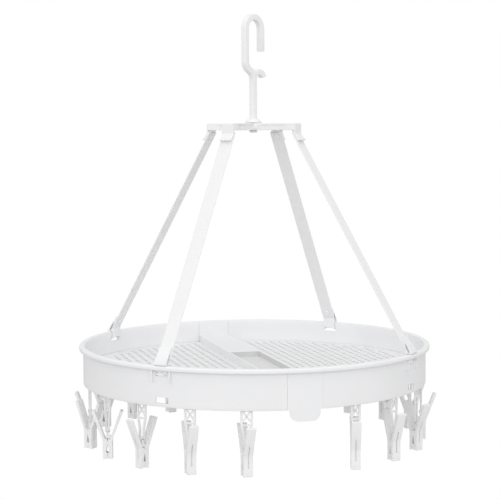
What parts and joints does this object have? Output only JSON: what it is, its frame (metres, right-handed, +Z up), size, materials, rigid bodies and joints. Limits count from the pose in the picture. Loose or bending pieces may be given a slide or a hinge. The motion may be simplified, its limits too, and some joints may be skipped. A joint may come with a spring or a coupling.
{
  "type": "hanging drying tray with pegs",
  "caption": "Round hanging drying tray on four webbing straps under a swivel hook, with a perforated floor, a centre bridge and spring pegs round the skirt.",
  "frame": {"origin": "seat of the hook, the inside top of its bend, on the axis of the swivel", "axes": "+Z up along the swivel axis; the centre bridge of the tray runs along Y; the hook plane stands 34.5 degrees round from X"},
  "size_m": [0.4143, 0.4, 0.4869],
  "materials": {
    "white_plastic": "fine satin moulded polypropylene",
    "hook_plastic": "smooth moulded acetal, slightly glossy",
    "floor_plastic": "matt perforated polypropylene",
    "webbing": "flat woven white webbing",
    "peg_plastic": "semi-gloss moulded plastic"
  },
  "bodies": {
    "hanger": {"hook": "hook_plastic", "swivel_pin": "hook_plastic"},
    "tray": {"hub": "hook_plastic", "strap_1": "webbing", "strap_2": "webbing", "strap_3": "webbing", "strap_4": "webbing", "upper_clip_1": "white_plastic", "upper_clip_2": "white_plastic", "upper_clip_3": "white_plastic", "upper_clip_4": "white_plastic", "lower_clip_1": "white_plastic", "lower_clip_2": "white_plastic", "lower_clip_3": "white_plastic", "lower_clip_4": "white_plastic", "centre_bridge": "white_plastic", "left_wall": "white_plastic", "right_wall": "white_plastic", "left_floor": "floor_plastic", "right_floor": "floor_plastic", "left_peg_loops": "peg_plastic", "right_peg_loops": "peg_plastic"},
    "peg_01": {"peg_01_inner": "peg_plastic"},
    "peg_01_jaw": {"peg_01_outer": "peg_plastic"},
    "peg_02": {"peg_02_inner": "peg_plastic"},
    "peg_02_jaw": {"peg_02_outer": "peg_plastic"},
    "peg_03": {"peg_03_inner": "peg_plastic"},
    "peg_03_jaw": {"peg_03_outer": "peg_plastic"},
    "peg_04": {"peg_04_inner": "peg_plastic"},
    "peg_04_jaw": {"peg_04_outer": "peg_plastic"},
    "peg_05": {"peg_05_inner": "peg_plastic"},
    "peg_05_jaw": {"peg_05_outer": "peg_plastic"},
    "peg_06": {"peg_06_inner": "peg_plastic"},
    "peg_06_jaw": {"peg_06_outer": "peg_plastic"},
    "peg_07": {"peg_07_inner": "peg_plastic"},
    "peg_07_jaw": {"peg_07_outer": "peg_plastic"},
    "peg_08": {"peg_08_inner": "peg_plastic"},
    "peg_08_jaw": {"peg_08_outer": "peg_plastic"},
    "peg_09": {"peg_09_inner": "peg_plastic"},
    "peg_09_jaw": {"peg_09_outer": "peg_plastic"},
    "peg_10": {"peg_10_inner": "peg_plastic"},
    "peg_10_jaw": {"peg_10_outer": "peg_plastic"},
    "peg_11": {"peg_11_inner": "peg_plastic"},
    "peg_11_jaw": {"peg_11_outer": "peg_plastic"},
    "peg_12": {"peg_12_inner": "peg_plastic"},
    "peg_12_jaw": {"peg_12_outer": "peg_plastic"},
    "peg_13": {"peg_13_inner": "peg_plastic"},
    "peg_13_jaw": {"peg_13_outer": "peg_plastic"},
    "peg_14": {"peg_14_inner": "peg_plastic"},
    "peg_14_jaw": {"peg_14_outer": "peg_plastic"},
    "peg_15": {"peg_15_inner": "peg_plastic"},
    "peg_15_jaw": {"peg_15_outer": "peg_plastic"},
    "peg_16": {"peg_16_inner": "peg_plastic"},
    "peg_16_jaw": {"peg_16_outer": "peg_plastic"},
    "peg_17": {"peg_17_inner": "peg_plastic"},
    "peg_17_jaw": {"peg_17_outer": "peg_plastic"},
    "peg_18": {"peg_18_inner": "peg_plastic"},
    "peg_18_jaw": {"peg_18_outer": "peg_plastic"}
  },
  "joints": [
    {"name": "tray_swivel", "type": "hinge", "parent": "hanger", "child": "tray", "pos_m": [0, 0, -0.1205], "axis": [0, 0, 1], "continuous": true},
    {"name": "peg_01_swing", "type": "hinge", "parent": "tray", "child": "peg_01", "pos_m": [0.05902, -0.18165, -0.4475], "axis": [0.9511, 0.309, 0], "range_deg": [-8, 8]},
    {"name": "peg_01_open", "type": "hinge", "parent": "peg_01", "child": "peg_01_jaw", "pos_m": [0.05902, -0.18165, -0.459], "axis": [-0.9659, 0.2588, 0], "range_deg": [0, 11], "stiffness_Nm_per_rad": 0.05, "springref_deg": -20.05},
    {"name": "peg_02_swing", "type": "hinge", "parent": "tray", "child": "peg_02", "pos_m": [0.11227, -0.15452, -0.4475], "axis": [0.809, 0.5878, 0], "range_deg": [-8, 8]},
    {"name": "peg_02_open", "type": "hinge", "parent": "peg_02", "child": "peg_02_jaw", "pos_m": [0.11227, -0.15452, -0.459], "axis": [-0.9816, -0.1908, 0], "range_deg": [0, 11], "stiffness_Nm_per_rad": 0.05, "springref_deg": -20.05},
    {"name": "peg_03_swing", "type": "hinge", "parent": "tray", "child": "peg_03", "pos_m": [0.15452, -0.11227, -0.4475], "axis": [0.5878, 0.809, 0], "range_deg": [-8, 8]},
    {"name": "peg_03_open", "type": "hinge", "parent": "peg_03", "child": "peg_03_jaw", "pos_m": [0.15452, -0.11227, -0.459], "axis": [-0.8988, -0.4384, 0], "range_deg": [0, 11], "stiffness_Nm_per_rad": 0.05, "springref_deg": -20.05},
    {"name": "peg_04_swing", "type": "hinge", "parent": "tray", "child": "peg_04", "pos_m": [0.18165, -0.05902, -0.4475], "axis": [0.309, 0.9511, 0], "range_deg": [-8, 8]},
    {"name": "peg_04_open", "type": "hinge", "parent": "peg_04", "child": "peg_04_jaw", "pos_m": [0.18165, -0.05902, -0.459], "axis": [-0.309, -0.9511, 0], "range_deg": [0, 11], "stiffness_Nm_per_rad": 0.05, "springref_deg": -20.05},
    {"name": "peg_05_swing", "type": "hinge", "parent": "tray", "child": "peg_05", "pos_m": [0.191, 0, -0.4475], "axis": [0, 1, 0], "range_deg": [-8, 8]},
    {"name": "peg_05_open", "type": "hinge", "parent": "peg_05", "child": "peg_05_jaw", "pos_m": [0.191, 0, -0.459], "axis": [0, -1, 0], "range_deg": [0, 11], "stiffness_Nm_per_rad": 0.05, "springref_deg": -20.05},
    {"name": "peg_06_swing", "type": "hinge", "parent": "tray", "child": "peg_06", "pos_m": [0.18165, 0.05902, -0.4475], "axis": [-0.309, 0.9511, 0], "range_deg": [-8, 8]},
    {"name": "peg_06_open", "type": "hinge", "parent": "peg_06", "child": "peg_06_jaw", "pos_m": [0.18165, 0.05902, -0.459], "axis": [0.309, -0.9511, 0], "range_deg": [0, 11], "stiffness_Nm_per_rad": 0.05, "springref_deg": -20.05},
    {"name": "peg_07_swing", "type": "hinge", "parent": "tray", "child": "peg_07", "pos_m": [0.15452, 0.11227, -0.4475], "axis": [-0.5878, 0.809, 0], "range_deg": [-8, 8]},
    {"name": "peg_07_open", "type": "hinge", "parent": "peg_07", "child": "peg_07_jaw", "pos_m": [0.15452, 0.11227, -0.459], "axis": [0.5878, -0.809, 0], "range_deg": [0, 11], "stiffness_Nm_per_rad": 0.05, "springref_deg": -20.05},
    {"name": "peg_08_swing", "type": "hinge", "parent": "tray", "child": "peg_08", "pos_m": [0.11227, 0.15452, -0.4475], "axis": [-0.809, 0.5878, 0], "range_deg": [-8, 8]},
    {"name": "peg_08_open", "type": "hinge", "parent": "peg_08", "child": "peg_08_jaw", "pos_m": [0.11227, 0.15452, -0.459], "axis": [0.809, -0.5878, 0], "range_deg": [0, 11], "stiffness_Nm_per_rad": 0.05, "springref_deg": -20.05},
    {"name": "peg_09_swing", "type": "hinge", "parent": "tray", "child": "peg_09", "pos_m": [0.05902, 0.18165, -0.4475], "axis": [-0.9511, 0.309, 0], "range_deg": [-8, 8]},
    {"name": "peg_09_open", "type": "hinge", "parent": "peg_09", "child": "peg_09_jaw", "pos_m": [0.05902, 0.18165, -0.459], "axis": [0.9511, -0.309, 0], "range_deg": [0, 11], "stiffness_Nm_per_rad": 0.05, "springref_deg": -20.05},
    {"name": "peg_10_swing", "type": "hinge", "parent": "tray", "child": "peg_10", "pos_m": [-0.05902, 0.18165, -0.4475], "axis": [-0.9511, -0.309, 0], "range_deg": [-8, 8]},
    {"name": "peg_10_open", "type": "hinge", "parent": "peg_10", "child": "peg_10_jaw", "pos_m": [-0.05902, 0.18165, -0.459], "axis": [0.9511, 0.309, 0], "range_deg": [0, 11], "stiffness_Nm_per_rad": 0.05, "springref_deg": -20.05},
    {"name": "peg_11_swing", "type": "hinge", "parent": "tray", "child": "peg_11", "pos_m": [-0.11227, 0.15452, -0.4475], "axis": [-0.809, -0.5878, 0], "range_deg": [-8, 8]},
    {"name": "peg_11_open", "type": "hinge", "parent": "peg_11", "child": "peg_11_jaw", "pos_m": [-0.11227, 0.15452, -0.459], "axis": [0.809, 0.5878, 0], "range_deg": [0, 11], "stiffness_Nm_per_rad": 0.05, "springref_deg": -20.05},
    {"name": "peg_12_swing", "type": "hinge", "parent": "tray", "child": "peg_12", "pos_m": [-0.15452, 0.11227, -0.4475], "axis": [-0.5878, -0.809, 0], "range_deg": [-8, 8]},
    {"name": "peg_12_open", "type": "hinge", "parent": "peg_12", "child": "peg_12_jaw", "pos_m": [-0.15452, 0.11227, -0.459], "axis": [0.5878, 0.809, 0], "range_deg": [0, 11], "stiffness_Nm_per_rad": 0.05, "springref_deg": -20.05},
    {"name": "peg_13_swing", "type": "hinge", "parent": "tray", "child": "peg_13", "pos_m": [-0.18165, 0.05902, -0.4475], "axis": [-0.309, -0.9511, 0], "range_deg": [-8, 8]},
    {"name": "peg_13_open", "type": "hinge", "parent": "peg_13", "child": "peg_13_jaw", "pos_m": [-0.18165, 0.05902, -0.459], "axis": [0.309, 0.9511, 0], "range_deg": [0, 11], "stiffness_Nm_per_rad": 0.05, "springref_deg": -20.05},
    {"name": "peg_14_swing", "type": "hinge", "parent": "tray", "child": "peg_14", "pos_m": [-0.191, 0, -0.4475], "axis": [0, -1, 0], "range_deg": [-8, 8]},
    {"name": "peg_14_open", "type": "hinge", "parent": "peg_14", "child": "peg_14_jaw", "pos_m": [-0.191, 0, -0.459], "axis": [0.7314, 0.682, 0], "range_deg": [0, 11], "stiffness_Nm_per_rad": 0.05, "springref_deg": -20.05},
    {"name": "peg_15_swing", "type": "hinge", "parent": "tray", "child": "peg_15", "pos_m": [-0.18165, -0.05902, -0.4475], "axis": [0.309, -0.9511, 0], "range_deg": [-8, 8]},
    {"name": "peg_15_open", "type": "hinge", "parent": "peg_15", "child": "peg_15_jaw", "pos_m": [-0.18165, -0.05902, -0.459], "axis": [0.2588, 0.9659, 0], "range_deg": [0, 11], "stiffness_Nm_per_rad": 0.05, "springref_deg": -20.05},
    {"name": "peg_16_swing", "type": "hinge", "parent": "tray", "child": "peg_16", "pos_m": [-0.15452, -0.11227, -0.4475], "axis": [0.5878, -0.809, 0], "range_deg": [-8, 8]},
    {"name": "peg_16_open", "type": "hinge", "parent": "peg_16", "child": "peg_16_jaw", "pos_m": [-0.15452, -0.11227, -0.459], "axis": [-0.4067, 0.9135, 0], "range_deg": [0, 11], "stiffness_Nm_per_rad": 0.05, "springref_deg": -20.05},
    {"name": "peg_17_swing", "type": "hinge", "parent": "tray", "child": "peg_17", "pos_m": [-0.11227, -0.15452, -0.4475], "axis": [0.809, -0.5878, 0], "range_deg": [-8, 8]},
    {"name": "peg_17_open", "type": "hinge", "parent": "peg_17", "child": "peg_17_jaw", "pos_m": [-0.11227, -0.15452, -0.459], "axis": [-0.9994, -0.0349, 0], "range_deg": [0, 11], "stiffness_Nm_per_rad": 0.05, "springref_deg": -20.05},
    {"name": "peg_18_swing", "type": "hinge", "parent": "tray", "child": "peg_18", "pos_m": [-0.05902, -0.18165, -0.4475], "axis": [0.9511, -0.309, 0], "range_deg": [-8, 8]},
    {"name": "peg_18_open", "type": "hinge", "parent": "peg_18", "child": "peg_18_jaw", "pos_m": [-0.05902, -0.18165, -0.459], "axis": [-0.9986, -0.0523, 0], "range_deg": [0, 11], "stiffness_Nm_per_rad": 0.05, "springref_deg": -20.05}
  ]
}
